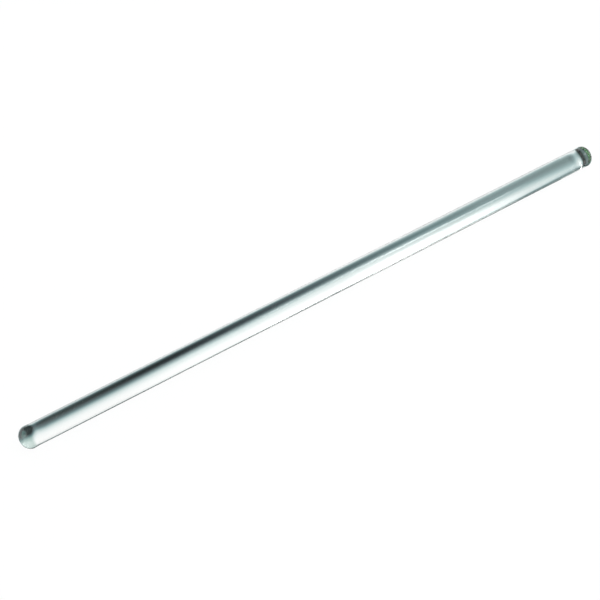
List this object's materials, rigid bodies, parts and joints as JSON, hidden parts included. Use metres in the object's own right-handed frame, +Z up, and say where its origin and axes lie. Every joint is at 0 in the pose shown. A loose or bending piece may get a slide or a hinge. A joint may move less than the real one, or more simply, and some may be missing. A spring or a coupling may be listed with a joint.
{
  "type": "glass stirring rod",
  "caption": "Straight solid glass rod with flame-polished round ends, for stirring and guiding liquids in laboratory vessels.",
  "frame": {"origin": "on the rod's axis, midway between its two tips", "axes": "+X along the rod, towards the end that is further away in the picture; +Z up, with the rod lying level"},
  "size_m": [0.2, 0.0069, 0.0068],
  "materials": {
    "glass": "drawn surface, flame-polished at the ends"
  },
  "bodies": {
    "root": {"stirring_rod": "glass"}
  },
  "joints": []
}
